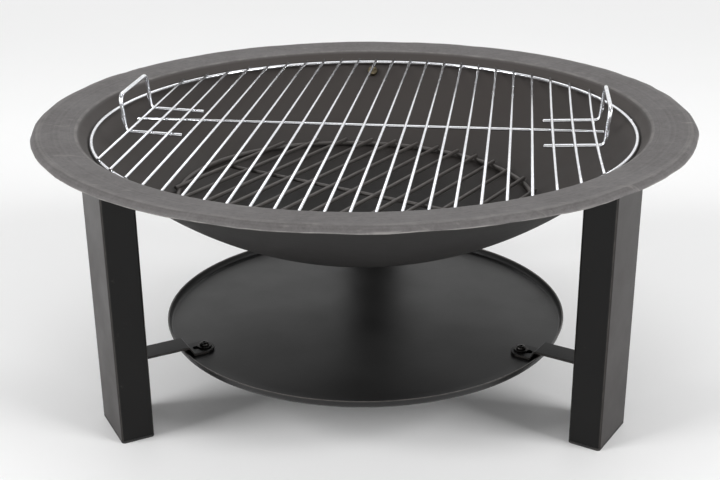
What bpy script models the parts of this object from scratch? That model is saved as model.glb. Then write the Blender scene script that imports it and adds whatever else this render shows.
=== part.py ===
"""Round steel fire pit on three legs, with a cooking grate, a charcoal grate and a log shelf.

Metres, Z up, floor level at z = 0, bowl axis on the origin, one leg straight behind it (+Y).
"""

import math

import bmesh
import bpy
from mathutils import Matrix, Vector

# Driving dimensions of the fire bowl.
RIM_RADIUS = 0.400
RIM_HEIGHT = 0.352
FLANGE_WIDTH = 0.054
FLANGE_RISE = 0.004
BOWL_DEPTH = 0.1635
BOWL_SHEET = 0.003
LIP_RADIUS = 0.009
LIP_TURN = math.radians(75)

# Legs, cut from rectangular tube.
LEG_COUNT = 3
LEG_DEPTH = 0.040
LEG_WIDTH = 0.080
LEG_WALL = 0.0025
LEG_CORNER = 0.004
LEG_INSET = 0.019
LEG_FIRST_AZIMUTH = math.radians(90)
FOOT_THICKNESS = 0.003
FOOT_PLUG = 0.015
SADDLE_THICKNESS = 0.004
SADDLE_INSET = 0.002

# Bolts that hold the bowl on the legs.
BOLT_INSET = 0.022
BOLT_RADIUS = 0.004
BOLT_LENGTH = 0.022
BOLT_ACROSS_FLATS = 0.013
BOLT_HEAD = 0.0053
BOLT_NUT = 0.0065

# Log shelf and the straps that carry it.
SHELF_RADIUS = 0.2555
SHELF_LIP_HEIGHT = 0.0894
SHELF_DISH = 0.0094
SHELF_SHEET = 0.0015
STRAP_WIDTH = 0.030
STRAP_THICKNESS = 0.003
STRAP_OVERHANG = 0.012
STEP_RUN = 0.007
SLOT_WIDTH = 0.008
SLOT_LENGTH = 0.020
SCREW_INSET = 0.0315
SCREW_RADIUS = 0.003
SCREW_LENGTH = 0.016
SCREW_HEAD = 0.0058
WASHER_RADIUS = 0.009
WASHER_THICKNESS = 0.0015
SCREW_ACROSS_FLATS = 0.010
SCREW_NUT = 0.005

# Cooking grate.
GRATE_INSET = 0.016
GRATE_RING_WIRE = 0.005
GRATE_BARS = 23
GRATE_END_MARGIN = 0.0506
GRATE_BAR_WIRE = 0.0034
GRATE_CROSS_WIRE = 0.004
GRATE_CROSS_END = 0.009
GRATE_SHIFT_ALONG = -0.006
GRATE_SHIFT_ACROSS = 0.0022
GRATE_TURN = math.radians(-5.0)
HANDLE_WIRE = 0.005
HANDLE_SPAN = 0.106
HANDLE_HEIGHT = 0.0445
HANDLE_FOOT = 0.070
HANDLE_BEND = 0.010
HANDLE_LEAN = 0.004
HANDLE_DROOP = 0.003

# Charcoal grate.
CHARCOAL_RADIUS = 0.2216
CHARCOAL_RING_WIRE = 0.006
CHARCOAL_BARS = 13
CHARCOAL_END_MARGIN = 0.0314
CHARCOAL_BAR_WIRE = 0.005
CHARCOAL_TURN = math.radians(-28.0)
CHARCOAL_TILT = math.radians(1.8)
CHARCOAL_TILT_AZIMUTH = math.radians(124.0)
WELD_SINK = 0.0006

# Clearances between pieces.
GAP = 0.0003
SEAT_GAP = 0.0006
BOLT_SEAT_GAP = 0.0008
STRAP_CLEARANCE = 0.0011
HOLE_CLEARANCE = 0.0005

# Fineness of the round pieces.
TURNED_STEPS = 72
BOWL_ARC_STEPS = 14
SMALL_STEPS = 16

# Sizes that follow from the ones above.
MOUTH_RADIUS = RIM_RADIUS - FLANGE_WIDTH
MOUTH_HEIGHT = RIM_HEIGHT - FLANGE_RISE
SPHERE_RADIUS = (MOUTH_RADIUS**2 + BOWL_DEPTH**2) / (2 * BOWL_DEPTH)
SPHERE_HEIGHT = MOUTH_HEIGHT - BOWL_DEPTH + SPHERE_RADIUS
OUTER_RADIUS = SPHERE_RADIUS + BOWL_SHEET
BOLT_ANGLE = math.asin((MOUTH_RADIUS - BOLT_INSET) / OUTER_RADIUS)
LEG_MIDDLE = MOUTH_RADIUS - LEG_INSET
LEG_INNER_FACE = LEG_MIDDLE - LEG_DEPTH / 2
SHELF_FLOOR = SHELF_LIP_HEIGHT - SHELF_DISH
SHELF_UNDERSIDE = SHELF_FLOOR - SHELF_SHEET
STRAP_HIGH = SHELF_LIP_HEIGHT + STRAP_CLEARANCE
STRAP_LOW = SHELF_FLOOR + GAP
STEP_RADIUS = SHELF_RADIUS - 0.0105
SCREW_CIRCLE = SHELF_RADIUS - SCREW_INSET
STRAP_END = SCREW_CIRCLE - STRAP_OVERHANG
GRATE_RADIUS = MOUTH_RADIUS - GRATE_INSET
GRATE_PITCH = 2 * (GRATE_RADIUS - GRATE_END_MARGIN) / (GRATE_BARS - 1)
CHARCOAL_PITCH = 2 * (CHARCOAL_RADIUS - CHARCOAL_END_MARGIN) / (CHARCOAL_BARS - 1)


def seat_height(ring_radius, wire):
    """Height at which a wire ring rests on the inside of the bowl."""
    reach = SPHERE_RADIUS - wire / 2 - SEAT_GAP
    return SPHERE_HEIGHT - math.sqrt(reach**2 - ring_radius**2)


GRATE_HEIGHT = seat_height(GRATE_RADIUS, GRATE_RING_WIRE)
GRATE_BAR_HEIGHT = GRATE_HEIGHT + GRATE_RING_WIRE / 2 + GAP + GRATE_BAR_WIRE / 2
CHARCOAL_HEIGHT = seat_height(CHARCOAL_RADIUS, CHARCOAL_RING_WIRE)


# ---------------------------------------------------------------- scene and materials


def clear_scene():
    for old in list(bpy.data.objects):
        bpy.data.objects.remove(old, do_unlink=True)


def make_collection(name, hidden=False):
    group = bpy.data.collections.new(name)
    bpy.context.scene.collection.children.link(group)
    group.hide_render = hidden
    return group


def make_finish(name, colour, metallic, roughness):
    material = bpy.data.materials.new(name)
    material.use_nodes = True
    shader = material.node_tree.nodes["Principled BSDF"]
    shader.inputs["Base Color"].default_value = (*colour, 1.0)
    shader.inputs["Metallic"].default_value = metallic
    shader.inputs["Roughness"].default_value = roughness
    material.diffuse_color = (*colour, 1.0)
    return material


clear_scene()
parts = make_collection("fire_pit")
cutters = make_collection("cutters", hidden=True)

bowl_paint = make_finish("bowl_paint", (0.16, 0.15, 0.145), 0.3, 0.6)
leg_paint = make_finish("leg_paint", (0.045, 0.042, 0.04), 0.2, 0.45)
shelf_paint = make_finish("shelf_paint", (0.04, 0.038, 0.037), 0.2, 0.4)
grate_chrome = make_finish("grate_chrome", (0.8, 0.8, 0.82), 1.0, 0.15)
charcoal_wire = make_finish("charcoal_wire", (0.07, 0.068, 0.065), 0.4, 0.6)
yellow_zinc = make_finish("yellow_zinc", (0.62, 0.5, 0.25), 1.0, 0.35)
black_oxide = make_finish("black_oxide", (0.03, 0.03, 0.03), 0.7, 0.4)
foot_plastic = make_finish("foot_plastic", (0.02, 0.02, 0.02), 0.0, 0.6)


# ---------------------------------------------------------------- building blocks


def link_new(name, data, group):
    piece = bpy.data.objects.new(name, data)
    group.objects.link(piece)
    return piece


def settle(piece):
    """Turn a piece with modifiers, or a curve, into a plain mesh in its own place."""
    bpy.context.view_layer.update()
    graph = bpy.context.evaluated_depsgraph_get()
    mesh = bpy.data.meshes.new_from_object(piece.evaluated_get(graph), depsgraph=graph)
    mesh.name = piece.name
    name, place = piece.name, piece.matrix_world.copy()
    group = piece.users_collection[0]
    bpy.data.objects.remove(piece, do_unlink=True)
    solid = link_new(name, mesh, group)
    merge_points(mesh)
    solid.matrix_world = place
    return solid


def merge_points(mesh):
    work = bmesh.new()
    work.from_mesh(mesh)
    bmesh.ops.remove_doubles(work, verts=work.verts, dist=0.00001)
    bmesh.ops.recalc_face_normals(work, faces=work.faces)
    work.to_mesh(mesh)
    work.free()


def dress(piece, material, smooth=False):
    piece.data.materials.clear()
    piece.data.materials.append(material)
    piece.data.polygons.foreach_set("use_smooth", [smooth] * len(piece.data.polygons))
    return piece


def turned(name, profile, steps, group, closed=False):
    """Revolve an (r, z) profile about Z."""
    mesh = bpy.data.meshes.new(name)
    edges = [(i, i + 1) for i in range(len(profile) - 1)]
    if closed:
        edges.append((len(profile) - 1, 0))
    mesh.from_pydata([(r, 0.0, z) for r, z in profile], edges, [])
    piece = link_new(name, mesh, group)
    screw = piece.modifiers.new("turn", "SCREW")
    screw.axis = "Z"
    screw.steps = steps
    screw.render_steps = steps
    screw.use_merge_vertices = True
    screw.merge_threshold = 0.00001
    return settle(piece)


def prism(name, outlines, thickness, group):
    """Fill flat outlines in the local XY plane and thicken them evenly about it."""
    curve = bpy.data.curves.new(name, "CURVE")
    curve.dimensions = "2D"
    curve.fill_mode = "BOTH"
    curve.extrude = thickness / 2
    for outline in outlines:
        spline = curve.splines.new("POLY")
        spline.points.add(len(outline) - 1)
        for point, (x, y) in zip(spline.points, outline):
            point.co = (x, y, 0.0, 1.0)
        spline.use_cyclic_u = True
    return settle(link_new(name, curve, group))


def wire(name, points, diameter, group, closed=False):
    """Round wire along a route of points."""
    curve = bpy.data.curves.new(name, "CURVE")
    curve.dimensions = "3D"
    curve.bevel_depth = diameter / 2
    curve.bevel_resolution = 2
    curve.use_fill_caps = not closed
    spline = curve.splines.new("POLY")
    spline.points.add(len(points) - 1)
    for point, place in zip(spline.points, points):
        point.co = (*place, 1.0)
    spline.use_cyclic_u = closed
    return settle(link_new(name, curve, group))


def rod(name, radius, length, sides, group):
    """Cylinder or hexagon standing on its own origin."""
    bpy.ops.mesh.primitive_cylinder_add(vertices=sides, radius=radius, depth=length)
    piece = bpy.context.object
    piece.name = name
    for old in list(piece.users_collection):
        old.objects.unlink(piece)
    group.objects.link(piece)
    piece.data.transform(Matrix.Translation((0, 0, length / 2)))
    return piece


def combine(piece, other, operation):
    """Boolean with a second solid, which is then used up."""
    bpy.context.view_layer.update()
    change = piece.modifiers.new(operation.lower(), "BOOLEAN")
    change.operation = operation
    change.solver = "EXACT"
    change.object = other
    other.display_type = "WIRE"
    solid = settle(piece)
    bpy.data.objects.remove(other, do_unlink=True)
    return solid


def move_to(piece, matrix):
    """Place a solid and write the place into its mesh."""
    piece.data.transform(matrix)
    piece.matrix_world = Matrix.Identity(4)
    return piece


def rounded_rectangle(length, width, radius, corner_steps=4):
    outline = []
    for corner, (sx, sy) in enumerate(((1, 1), (-1, 1), (-1, -1), (1, -1))):
        for step in range(corner_steps + 1):
            angle = math.radians(90) * (corner + step / corner_steps)
            x = sx * (length / 2 - radius) + radius * math.cos(angle)
            y = sy * (width / 2 - radius) + radius * math.sin(angle)
            outline.append((x, y))
    return outline


def sheet_profile(top, thickness):
    """Closed-up (r, z) profile of a sheet whose upper side is given from the axis outwards."""
    under = []
    for i, point in enumerate(top):
        before = Vector(top[i]) - Vector(top[i - 1]) if i else Vector((1.0, 0.0))
        after = Vector(top[i + 1]) - Vector(point) if i < len(top) - 1 else before
        before.normalize()
        after.normalize()
        along = (before + after).normalized()
        normal = Vector((along.y, -along.x))
        mitre = thickness / max(normal.dot(Vector((before.y, -before.x))), 0.5)
        below = Vector(point) + normal * mitre
        under.append((below.x if point[0] > 0 else 0.0, below.y))
    return list(top) + under[::-1]


def leg_azimuths():
    return [LEG_FIRST_AZIMUTH + i * 2 * math.pi / LEG_COUNT for i in range(LEG_COUNT)]


def at_azimuth(azimuth):
    return Matrix.Rotation(azimuth, 4, "Z")


def bolt_axis(azimuth, distance):
    """Local Z runs out of the bowl wall, starting at a distance from the bowl's sphere centre."""
    lift = Matrix.Translation((0, 0, SPHERE_HEIGHT))
    slope = Matrix.Rotation(math.pi - BOLT_ANGLE, 4, "Y")
    return at_azimuth(azimuth) @ lift @ slope @ Matrix.Translation((0, 0, distance))


# ---------------------------------------------------------------- fire bowl


def bowl_top_line():
    """Upper side of the bowl and its rising flange, from the axis to the turned-down lip."""
    mouth_angle = math.asin(MOUTH_RADIUS / SPHERE_RADIUS)
    line = []
    for i in range(BOWL_ARC_STEPS + 1):
        angle = mouth_angle * i / BOWL_ARC_STEPS
        r = SPHERE_RADIUS * math.sin(angle)
        line.append((r, SPHERE_HEIGHT - SPHERE_RADIUS * math.cos(angle)))
    lip_start = RIM_RADIUS - LIP_RADIUS * math.sin(LIP_TURN)
    for i in range(5):
        angle = LIP_TURN * i / 4
        r = lip_start + LIP_RADIUS * math.sin(angle)
        line.append((r, RIM_HEIGHT - LIP_RADIUS * (1 - math.cos(angle))))
    return line


def build_bowl():
    profile = sheet_profile(bowl_top_line(), BOWL_SHEET)
    bowl = turned("bowl", profile, TURNED_STEPS, parts)
    for azimuth in leg_azimuths():
        hole = rod("bolt_hole", BOLT_RADIUS + HOLE_CLEARANCE, 0.02, SMALL_STEPS, cutters)
        move_to(hole, bolt_axis(azimuth, SPHERE_RADIUS - 0.01))
        bowl = combine(bowl, hole, "DIFFERENCE")
    dress(bowl, bowl_paint, smooth=True)


# ---------------------------------------------------------------- legs and their fixings


def build_leg(number, azimuth):
    cut_at = OUTER_RADIUS + GAP + SADDLE_THICKNESS + GAP
    height = RIM_HEIGHT + 0.02
    outer = rounded_rectangle(LEG_DEPTH, LEG_WIDTH, LEG_CORNER)
    wall = 2 * LEG_WALL
    inner = rounded_rectangle(LEG_DEPTH - wall, LEG_WIDTH - wall, LEG_CORNER - LEG_WALL)
    leg = prism(f"leg_{number}", [outer, inner], height, parts)
    base = FOOT_THICKNESS + GAP
    place = at_azimuth(azimuth) @ Matrix.Translation((LEG_MIDDLE, 0, base + height / 2))
    move_to(leg, place)
    bpy.ops.mesh.primitive_cube_add(size=0.2)
    block = bpy.context.object
    move_to(block, bolt_axis(azimuth, cut_at - 0.1))
    dress(combine(leg, block, "DIFFERENCE"), leg_paint)


def build_saddle(number, azimuth):
    top_at = OUTER_RADIUS + GAP
    slope = math.cos(BOLT_ANGLE)
    length = LEG_DEPTH / slope - 2 * SADDLE_INSET
    outline = rounded_rectangle(length, LEG_WIDTH - 2 * SADDLE_INSET, LEG_CORNER)
    shift = (top_at * math.sin(BOLT_ANGLE) - LEG_MIDDLE) / slope
    outline = [(x + shift, y) for x, y in outline]
    saddle = prism(f"leg_saddle_{number}", [outline], SADDLE_THICKNESS, parts)
    move_to(saddle, bolt_axis(azimuth, top_at + SADDLE_THICKNESS / 2))
    hole = rod("saddle_hole", BOLT_RADIUS + HOLE_CLEARANCE, 0.02, SMALL_STEPS, cutters)
    move_to(hole, bolt_axis(azimuth, top_at - 0.01))
    dress(combine(saddle, hole, "DIFFERENCE"), leg_paint)


def build_foot(number, azimuth):
    place = at_azimuth(azimuth) @ Matrix.Translation((LEG_MIDDLE, 0, FOOT_THICKNESS / 2))
    outline = rounded_rectangle(LEG_DEPTH, LEG_WIDTH, LEG_CORNER)
    foot = move_to(prism(f"foot_{number}", [outline], FOOT_THICKNESS, parts), place)
    wall = 2 * (LEG_WALL + GAP)
    outline = rounded_rectangle(LEG_DEPTH - wall, LEG_WIDTH - wall, LEG_CORNER - LEG_WALL)
    plug_height = FOOT_PLUG + FOOT_THICKNESS / 2
    plug = prism("plug", [outline], plug_height, cutters)
    lift = FOOT_THICKNESS / 2 + plug_height / 2
    move_to(plug, at_azimuth(azimuth) @ Matrix.Translation((LEG_MIDDLE, 0, lift)))
    dress(combine(foot, plug, "UNION"), foot_plastic)


def hex_radius(across_flats):
    return across_flats / math.sqrt(3)


def build_bowl_bolt(number, azimuth):
    seat = SPHERE_RADIUS - BOLT_SEAT_GAP
    head = rod(f"bowl_bolt_{number}", hex_radius(BOLT_ACROSS_FLATS), BOLT_HEAD, 6, parts)
    move_to(head, bolt_axis(azimuth, seat - BOLT_HEAD))
    shank = rod("shank", BOLT_RADIUS, BOLT_LENGTH + BOLT_HEAD / 2, SMALL_STEPS, cutters)
    move_to(shank, bolt_axis(azimuth, seat - BOLT_HEAD / 2))
    dress(combine(head, shank, "UNION"), yellow_zinc)


def make_nut(name, across_flats, height, hole_radius, place, material):
    nut = rod(name, hex_radius(across_flats), height, 6, parts)
    hole = rod("thread", hole_radius, 3 * height, SMALL_STEPS, cutters)
    move_to(hole, Matrix.Translation((0, 0, -height)))
    nut = combine(nut, hole, "DIFFERENCE")
    dress(move_to(nut, place), material)


def build_bowl_nut(number, azimuth):
    under = OUTER_RADIUS + GAP + SADDLE_THICKNESS + GAP
    place = bolt_axis(azimuth, under)
    name = f"bowl_nut_{number}"
    make_nut(name, BOLT_ACROSS_FLATS, BOLT_NUT, BOLT_RADIUS + GAP, place, yellow_zinc)


# ---------------------------------------------------------------- log shelf


def build_shelf():
    lip = [
        (0.0, 0.0),
        (SHELF_RADIUS - 0.0120, 0.0),
        (SHELF_RADIUS - 0.0085, 0.0008),
        (SHELF_RADIUS - 0.0060, 0.0030),
        (SHELF_RADIUS - 0.0035, 0.0070),
        (SHELF_RADIUS - 0.0020, SHELF_DISH - 0.0006),
        (SHELF_RADIUS, SHELF_DISH),
    ]
    top = [(r, SHELF_FLOOR + z) for r, z in lip]
    shelf = turned("shelf", sheet_profile(top, SHELF_SHEET), TURNED_STEPS, parts)
    for azimuth in leg_azimuths():
        hole = rod("screw_hole", SCREW_RADIUS + HOLE_CLEARANCE, 0.02, SMALL_STEPS, cutters)
        spot = Matrix.Translation((SCREW_CIRCLE, 0, SHELF_FLOOR - 0.01))
        move_to(hole, at_azimuth(azimuth) @ spot)
        shelf = combine(shelf, hole, "DIFFERENCE")
    dress(shelf, shelf_paint, smooth=True)


def strap_side():
    """Side view (r, z) of a shelf strap with its downward step."""
    back = LEG_INNER_FACE - GAP
    return [
        (back, STRAP_HIGH),
        (back, STRAP_HIGH + STRAP_THICKNESS),
        (STEP_RADIUS + STEP_RUN / 2 - 0.001, STRAP_HIGH + STRAP_THICKNESS),
        (STEP_RADIUS - STEP_RUN / 2 - 0.001, STRAP_LOW + STRAP_THICKNESS),
        (STRAP_END - 0.001, STRAP_LOW + STRAP_THICKNESS),
        (STRAP_END - 0.001, STRAP_LOW),
        (STEP_RADIUS - STEP_RUN / 2, STRAP_LOW),
        (STEP_RADIUS + STEP_RUN / 2, STRAP_HIGH),
    ]


def half_turn(centre, radius, start, steps=12):
    angles = [start + math.pi * i / steps for i in range(steps + 1)]
    return [(centre + radius * math.cos(a), radius * math.sin(a)) for a in angles]


def build_strap(number, azimuth):
    turn = at_azimuth(azimuth)
    strap = prism(f"shelf_strap_{number}", [strap_side()], STRAP_WIDTH, parts)
    move_to(strap, turn @ Matrix.Rotation(math.radians(90), 4, "X"))
    half = STRAP_WIDTH / 2
    plan = half_turn(STRAP_END + half, half, math.radians(90))
    plan += [(LEG_MIDDLE, -half - 0.001), (LEG_MIDDLE, half + 0.001)]
    blank = prism("strap_plan", [plan], 0.1, cutters)
    move_to(blank, turn @ Matrix.Translation((0, 0, STRAP_LOW)))
    strap = combine(strap, blank, "INTERSECT")
    inner = SCREW_CIRCLE - 0.001
    outer = inner + SLOT_LENGTH - SLOT_WIDTH
    slot_line = half_turn(inner, SLOT_WIDTH / 2, math.radians(90))
    slot_line += half_turn(outer, SLOT_WIDTH / 2, math.radians(-90))
    slot = prism("strap_slot", [slot_line], 0.02, cutters)
    move_to(slot, turn @ Matrix.Translation((0, 0, STRAP_LOW)))
    dress(combine(strap, slot, "DIFFERENCE"), leg_paint)


def build_shelf_screw(number, azimuth):
    seat = STRAP_LOW + STRAP_THICKNESS + GAP + WASHER_THICKNESS + GAP
    tip = seat - SCREW_LENGTH
    profile = [
        (0.0, seat + 0.0033),
        (0.0022, seat + 0.0032),
        (0.0042, seat + 0.0025),
        (0.0054, seat + 0.0013),
        (SCREW_HEAD, seat),
        (SCREW_RADIUS, seat),
        (SCREW_RADIUS, tip + 0.0006),
        (SCREW_RADIUS - 0.0006, tip),
        (0.0, tip),
    ]
    screw = turned(f"shelf_screw_{number}", profile, SMALL_STEPS, parts)
    place = at_azimuth(azimuth) @ Matrix.Translation((SCREW_CIRCLE, 0, 0))
    dress(move_to(screw, place), black_oxide)


def build_shelf_washer(number, azimuth):
    base = STRAP_LOW + STRAP_THICKNESS + GAP
    hole = SCREW_RADIUS + GAP
    profile = [
        (hole, base + WASHER_THICKNESS),
        (WASHER_RADIUS, base + WASHER_THICKNESS),
        (WASHER_RADIUS, base),
        (hole, base),
    ]
    washer = turned(f"shelf_washer_{number}", profile, SMALL_STEPS, parts, closed=True)
    place = at_azimuth(azimuth) @ Matrix.Translation((SCREW_CIRCLE, 0, 0))
    dress(move_to(washer, place), black_oxide)


def build_shelf_nut(number, azimuth):
    under = SHELF_UNDERSIDE - GAP - SCREW_NUT
    place = at_azimuth(azimuth) @ Matrix.Translation((SCREW_CIRCLE, 0, under))
    name = f"shelf_nut_{number}"
    make_nut(name, SCREW_ACROSS_FLATS, SCREW_NUT, SCREW_RADIUS + GAP, place, black_oxide)


# ---------------------------------------------------------------- cooking grate


def circle_points(radius, height, count):
    angles = [2 * math.pi * i / count for i in range(count)]
    return [(radius * math.cos(a), radius * math.sin(a), height) for a in angles]


def build_grate_ring():
    points = circle_points(GRATE_RADIUS, GRATE_HEIGHT, TURNED_STEPS)
    ring = wire("grate_ring", points, GRATE_RING_WIRE, parts, closed=True)
    dress(ring, grate_chrome, smooth=True)


def build_grate_bars():
    reach = GRATE_RADIUS + GRATE_RING_WIRE / 2 + GAP
    for i in range(GRATE_BARS):
        offset = (i - (GRATE_BARS - 1) / 2) * GRATE_PITCH + GRATE_SHIFT_ACROSS
        half = math.sqrt(reach**2 - offset**2)
        points = [(offset, -half, GRATE_BAR_HEIGHT), (offset, half, GRATE_BAR_HEIGHT)]
        bar = wire(f"grate_bar_{i + 1:02d}", points, GRATE_BAR_WIRE, parts)
        dress(move_to(bar, at_azimuth(GRATE_TURN)), grate_chrome, smooth=True)


def under_bars(diameter):
    """Centre height of a wire that runs just below the grate bars."""
    return GRATE_BAR_HEIGHT - GRATE_BAR_WIRE / 2 - GAP - diameter / 2


def grate_place():
    """The cross wire and the handles were welded on a little off the ring's centre."""
    shift = Matrix.Translation((GRATE_SHIFT_ACROSS, GRATE_SHIFT_ALONG, 0))
    return at_azimuth(GRATE_TURN) @ shift


def outermost_bar():
    return (GRATE_BARS - 1) / 2 * GRATE_PITCH


def build_cross_wire():
    half = outermost_bar() + GRATE_CROSS_END
    height = under_bars(GRATE_CROSS_WIRE)
    points = [(-half, 0.0, height), (half, 0.0, height)]
    cross = wire("grate_cross_wire", points, GRATE_CROSS_WIRE, parts)
    dress(move_to(cross, grate_place()), grate_chrome, smooth=True)


def bend(corner, inward, onward, radius, steps=5):
    """Points of a round bend between two straight runs that meet at a corner."""
    corner, inward, onward = Vector(corner), Vector(inward), Vector(onward)
    centre = corner + (inward + onward) * radius
    points = []
    for i in range(steps + 1):
        angle = math.radians(90) * i / steps
        offset = onward * math.cos(angle) + inward * math.sin(angle)
        points.append(centre - offset * radius)
    return points


def handle_route():
    """Handle at +X: along under the bars, up, across and back, its feet drooping a little."""
    low = under_bars(HANDLE_WIRE)
    high = low + HANDLE_HEIGHT
    post = outermost_bar() + GRATE_BAR_WIRE / 2 + HANDLE_WIRE / 2 + 2 * GAP + 0.002
    half = HANDLE_SPAN / 2
    x, y, z = Vector((1, 0, 0)), Vector((0, 1, 0)), Vector((0, 0, 1))
    tight = HANDLE_BEND * 0.6
    points = [Vector((post - HANDLE_FOOT, -half, low))]
    points += bend((post, -half, low), -x, z, tight)
    points += bend((post, -half, high), -z, y, HANDLE_BEND)
    points += bend((post, half, high), -y, -z, HANDLE_BEND)
    points += bend((post, half, low), z, -x, tight)
    points.append(Vector((post - HANDLE_FOOT, half, low)))
    for point in points:
        droop = HANDLE_DROOP * min((point.x - post) / HANDLE_FOOT, 0.0)
        point.x += HANDLE_LEAN * (point.z - low) / HANDLE_HEIGHT
        point.z += droop
    return points


def build_handles():
    for name, turn in (("grate_handle_right", 0.0), ("grate_handle_left", math.pi)):
        handle = wire(name, handle_route(), HANDLE_WIRE, parts)
        dress(move_to(handle, grate_place() @ at_azimuth(turn)), grate_chrome, smooth=True)


# ---------------------------------------------------------------- charcoal grate


def build_charcoal_grate():
    """One welded grid, resting a little to one side in the round of the bowl."""
    ring_points = circle_points(CHARCOAL_RADIUS, 0.0, 72)
    grid = wire("charcoal_grate", ring_points, CHARCOAL_RING_WIRE, parts, closed=True)
    bar_height = (CHARCOAL_RING_WIRE + CHARCOAL_BAR_WIRE) / 2 - WELD_SINK
    reach = CHARCOAL_RADIUS + CHARCOAL_RING_WIRE / 2 + 0.003
    for i in range(CHARCOAL_BARS):
        offset = (i - (CHARCOAL_BARS - 1) / 2) * CHARCOAL_PITCH
        half = math.sqrt(reach**2 - offset**2)
        points = [(offset, -half, bar_height), (offset, half, bar_height)]
        grid = combine(grid, wire("bar", points, CHARCOAL_BAR_WIRE, cutters), "UNION")
    half = (CHARCOAL_BARS - 1) / 2 * CHARCOAL_PITCH + 0.004
    cross_height = bar_height - CHARCOAL_BAR_WIRE + WELD_SINK
    points = [(-half, 0.0, cross_height), (half, 0.0, cross_height)]
    grid = combine(grid, wire("cross", points, CHARCOAL_BAR_WIRE, cutters), "UNION")
    lift = Matrix.Translation((0, 0, CHARCOAL_HEIGHT))
    pivot = Matrix.Translation((0, 0, SPHERE_HEIGHT))
    axis = (math.cos(CHARCOAL_TILT_AZIMUTH), math.sin(CHARCOAL_TILT_AZIMUTH), 0.0)
    tilt = pivot @ Matrix.Rotation(CHARCOAL_TILT, 4, axis) @ pivot.inverted()
    move_to(grid, tilt @ lift @ at_azimuth(CHARCOAL_TURN))
    dress(grid, charcoal_wire)


# ---------------------------------------------------------------- assembly


build_bowl()
build_shelf()
for index, direction in enumerate(leg_azimuths(), start=1):
    build_leg(index, direction)
    build_saddle(index, direction)
    build_foot(index, direction)
    build_bowl_bolt(index, direction)
    build_bowl_nut(index, direction)
    build_strap(index, direction)
    build_shelf_screw(index, direction)
    build_shelf_washer(index, direction)
    build_shelf_nut(index, direction)
build_grate_ring()
build_cross_wire()
build_grate_bars()
build_handles()
build_charcoal_grate()
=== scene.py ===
import math

import bmesh
import bpy
from mathutils import Matrix, Vector


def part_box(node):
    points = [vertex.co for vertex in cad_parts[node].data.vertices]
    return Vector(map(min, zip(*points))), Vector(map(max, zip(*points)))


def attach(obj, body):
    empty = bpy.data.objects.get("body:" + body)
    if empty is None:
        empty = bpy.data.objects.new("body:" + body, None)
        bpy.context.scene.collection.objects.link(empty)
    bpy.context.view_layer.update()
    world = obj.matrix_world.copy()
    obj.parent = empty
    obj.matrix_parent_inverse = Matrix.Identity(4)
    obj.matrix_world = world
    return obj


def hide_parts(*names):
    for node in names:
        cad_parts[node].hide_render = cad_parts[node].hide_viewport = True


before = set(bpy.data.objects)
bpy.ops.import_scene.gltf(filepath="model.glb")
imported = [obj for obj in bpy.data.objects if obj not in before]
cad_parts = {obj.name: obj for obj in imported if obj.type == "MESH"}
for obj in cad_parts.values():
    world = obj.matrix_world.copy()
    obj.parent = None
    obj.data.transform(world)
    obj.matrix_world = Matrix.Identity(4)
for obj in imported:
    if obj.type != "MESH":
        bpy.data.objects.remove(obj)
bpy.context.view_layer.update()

scene = bpy.context.scene
scene.view_settings.view_transform = "Standard"  # studio whites stay white
print("frame loaded:", len(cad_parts), "nodes")


# camera, floor and light

cameraSettings = {
    "place": (0.0604, -1.4262, 0.7495),
    "yaw": -0.0467,  # turns in radians, from looking level along +Y
    "pitch": -0.3792,
    "roll": -0.0093,
    "lens": 59.96,  # in millimetres, as the sensor's width is
    "sensor": 36.0,
}
studioSettings = {
    "floorSize": 40.0,
    "floorColour": "#f7f7f7",
    "floorCloud": "#f4f4f4",
    "glowFrom": 0.9,  # from here out the floor runs into the lit sweep
    "glowTo": 4.2,
    "roomColour": "#fefefe",
    "sweepStrength": 0.92,  # white paper sweep round the set
    "ceilingStrength": 0.24,  # above its top edge
    "sweepTop": (0.38, 0.46),  # rise of the direction in which that edge fades
    "softboxes": (  # place, width, height and power of each
        ("leftSoftbox", (-4.0, -1.9, 2.6), 2.0, 2.0, 158.0),
        ("rightSoftbox", (4.0, -1.9, 2.6), 2.0, 2.0, 164.0),
        ("overheadSoftbox", (0.0, 0.4, 3.0), 2.0, 2.0, 12.0),
        ("frontSoftbox", (0.0, -3.2, 1.2), 2.2, 1.6, 5.0),
        ("backSoftbox", (0.0, 3.0, 3.0), 4.4, 1.8, 36.0),
    ),
    "aim": (0.0, 0.0, 0.25),  # they all face this
}


def linear(hexColour):  # sRGB hex to the linear values that shaders work in
    steps = [int(hexColour[i:i + 2], 16) / 255 for i in (1, 3, 5)]
    flat = [s / 12.92 if s <= 0.04045 else ((s + 0.055) / 1.055) ** 2.4 for s in steps]
    return (*flat, 1.0)


def addNode(tree, kind, settings=None, links=None):  # settings: its properties and values
    node = tree.nodes.new(kind)
    for name, value in (settings or {}).items():
        if isinstance(name, str) and hasattr(node, name):
            setattr(node, name, value)
        else:
            node.inputs[name].default_value = value
    for name, source in (links or {}).items():
        tree.links.new(source, node.inputs[name])
    return node


def newFinish(name):  # a new material and its node tree, still empty
    material = bpy.data.materials.new(name)
    material.use_nodes = True
    material.node_tree.nodes.clear()
    return material, material.node_tree


def leaveEdit():
    if bpy.context.mode != "OBJECT":
        bpy.ops.object.mode_set(mode="OBJECT")


def deselectAll():
    leaveEdit()
    bpy.ops.object.select_all(action="DESELECT")


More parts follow.
